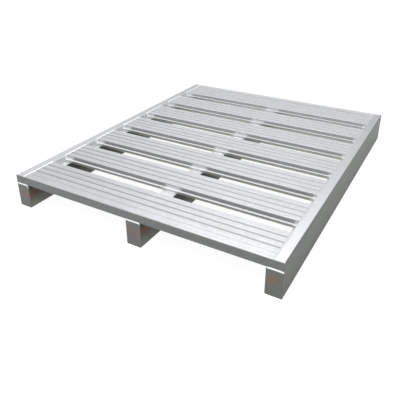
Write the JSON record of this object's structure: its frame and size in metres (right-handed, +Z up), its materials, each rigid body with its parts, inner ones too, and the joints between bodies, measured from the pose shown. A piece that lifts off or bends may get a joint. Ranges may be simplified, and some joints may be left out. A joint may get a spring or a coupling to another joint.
{
  "type": "steel pallet",
  "caption": "Low two-way steel pallet: ribbed planks with side fins, welded between stepped side runners and over a centre runner, with closed leg ends.",
  "frame": {"origin": "on the floor, under the middle of the pallet", "axes": "+X along the planks, from the left runner to the right one; +Y along the runners, from the front beam to the rear beam; +Z up"},
  "size_m": [1, 1.2536, 0.1208],
  "materials": {
    "deck_sheet": "bright zinc-coated sheet, satin, with fine drawing lines along the planks",
    "frame_sheet": "bright zinc-coated sheet, satin, slightly duller on the upright faces",
    "leg_sheet": "dull zinc-coated sheet with faint brown staining below the welds",
    "weld_metal": "bright rippled weld bead"
  },
  "bodies": {
    "root": {"left_runner": "frame_sheet", "centre_runner": "frame_sheet", "right_runner": "frame_sheet", "left_front_cap": "leg_sheet", "centre_front_cap": "leg_sheet", "right_front_cap": "leg_sheet", "left_rear_cap": "leg_sheet", "centre_rear_cap": "leg_sheet", "right_rear_cap": "leg_sheet", "front_beam": "frame_sheet", "rear_beam": "frame_sheet", "deck_plank_1": "deck_sheet", "deck_plank_2": "deck_sheet", "deck_plank_3": "deck_sheet", "deck_plank_4": "deck_sheet", "deck_plank_5": "deck_sheet", "deck_plank_6": "deck_sheet", "deck_plank_7": "deck_sheet", "front_leg_welds": "weld_metal", "rear_leg_welds": "weld_metal", "left_plank_welds": "weld_metal", "centre_plank_welds": "weld_metal", "right_plank_welds": "weld_metal"}
  },
  "joints": []
}
